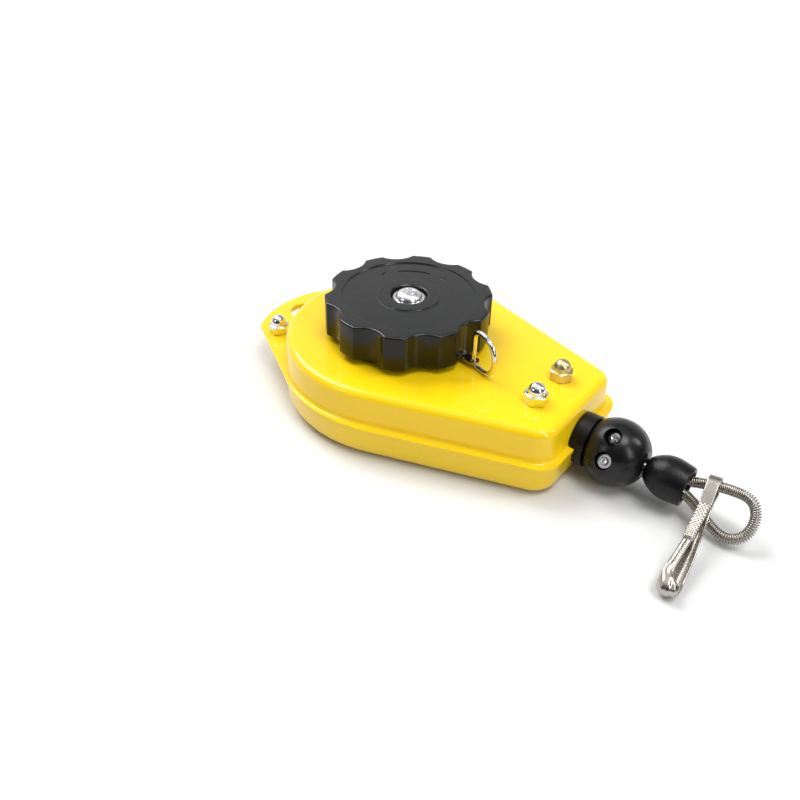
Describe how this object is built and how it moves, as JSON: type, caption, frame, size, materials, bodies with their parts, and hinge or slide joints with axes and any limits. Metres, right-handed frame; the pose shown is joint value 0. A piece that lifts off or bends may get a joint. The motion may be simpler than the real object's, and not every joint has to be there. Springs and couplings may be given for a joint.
{
  "type": "tool balancer",
  "caption": "Light spring balancer: flat drawn-steel housing with hanging ear, large tension knob, lock ring, ball stop, rope loop and spring-strip snap hook.",
  "frame": {"origin": "on the winding shaft's axis, in the plane of the housing's flat back face", "axes": "+Z out of the tension knob along the winding shaft; +X from the shaft towards the cable outlet; +Y completes the right-handed frame"},
  "size_m": [0.2314, 0.1076, 0.0487],
  "materials": {
    "yellow_paint": "glossy enamel",
    "knob_black": "glossy skirt, satin top",
    "ball_black": "satin",
    "sleeve_black": "satin",
    "grommet_brown": "satin",
    "zinc_plate": "bright plated",
    "steel": "plain",
    "nickel": "nickel plated",
    "wire_rope": "galvanised",
    "spring_steel": "blued",
    "bronze": "sintered",
    "drum_plastic": "moulded",
    "aluminium": "swaged"
  },
  "bodies": {
    "housing": {"rear_shell": "yellow_paint", "front_cover": "yellow_paint", "nose_bolts": "zinc_plate", "nose_cap_nuts": "zinc_plate", "nose_spacers": "steel", "ear_bolts": "zinc_plate", "ear_cap_nuts": "zinc_plate", "outlet_grommet": "grommet_brown", "front_bearing": "bronze", "rear_bearing": "bronze", "pawl_guide": "steel", "pawl_guide_rivets": "steel"},
    "knob": {"tension_knob": "knob_black", "knob_screw": "zinc_plate", "knob_washer": "zinc_plate", "winding_shaft": "steel", "ratchet_wheel": "steel", "shaft_retaining_ring": "spring_steel"},
    "drum": {"cable_drum": "drum_plastic", "drum_side_plate": "steel", "drum_rivets": "steel", "drum_bushes": "bronze", "mainspring": "spring_steel", "wound_cable": "wire_rope", "cable_anchor": "steel"},
    "pawl": {"lock_pawl": "zinc_plate", "pawl_spring": "spring_steel"},
    "pull_ring": {"pull_ring": "nickel"},
    "cable_end": {"cable_run": "wire_rope", "stop_ball_front": "ball_black", "stop_ball_back": "ball_black", "ball_screws": "zinc_plate", "ball_nuts": "zinc_plate", "crimp_ferrule": "aluminium", "ferrule_sleeve": "sleeve_black", "loop_rope": "wire_rope", "loop_spring": "nickel"},
    "hook": {"hook_body": "nickel"},
    "hook_gate": {"hook_tongue": "nickel"}
  },
  "joints": [
    {"name": "cable_pull", "type": "slide", "parent": "housing", "child": "cable_end", "axis": [1, 0, 0], "range_m": [0, 1.6], "stiffness_N_per_m": 6.25, "springref_m": -2.4, "deforming": ["cable_run"]},
    {"name": "drum_spin", "type": "hinge", "parent": "housing", "child": "drum", "pos_m": [0, 0, 0.014], "axis": [0, 0, 1], "range_deg": [-5, 2140], "deforming": ["mainspring"]},
    {"name": "knob_turn", "type": "hinge", "parent": "housing", "child": "knob", "pos_m": [0, 0, 0.04], "axis": [0, 0, 1], "continuous": true},
    {"name": "pawl_pull", "type": "slide", "parent": "housing", "child": "pawl", "axis": [0.9914, -0.1305, 0], "range_m": [0, 0.0032], "stiffness_N_per_m": 400, "springref_m": -0.002, "deforming": ["pawl_spring"]},
    {"name": "ring_swing", "type": "hinge", "parent": "pawl", "child": "pull_ring", "pos_m": [0.03639, -0.00479, 0.038], "axis": [0, 0, 1], "range_deg": [-78, 110]},
    {"name": "hook_swing", "type": "hinge", "parent": "cable_end", "child": "hook", "pos_m": [0.1385, 0.00305, 0.01475], "axis": [-0.9944, -0.0729, -0.0768], "range_deg": [-4, 120]},
    {"name": "tongue_press", "type": "hinge", "parent": "hook", "child": "hook_gate", "pos_m": [0.13933, -0.00655, 0.01316], "axis": [-0.9944, -0.0729, -0.0768], "range_deg": [-8, 0], "stiffness_Nm_per_rad": 0.6, "springref_deg": 2.86}
  ],
  "couplings": [
    {"joint": "drum_spin", "follows": "cable_pull", "rad_per_m": 23.256}
  ]
}
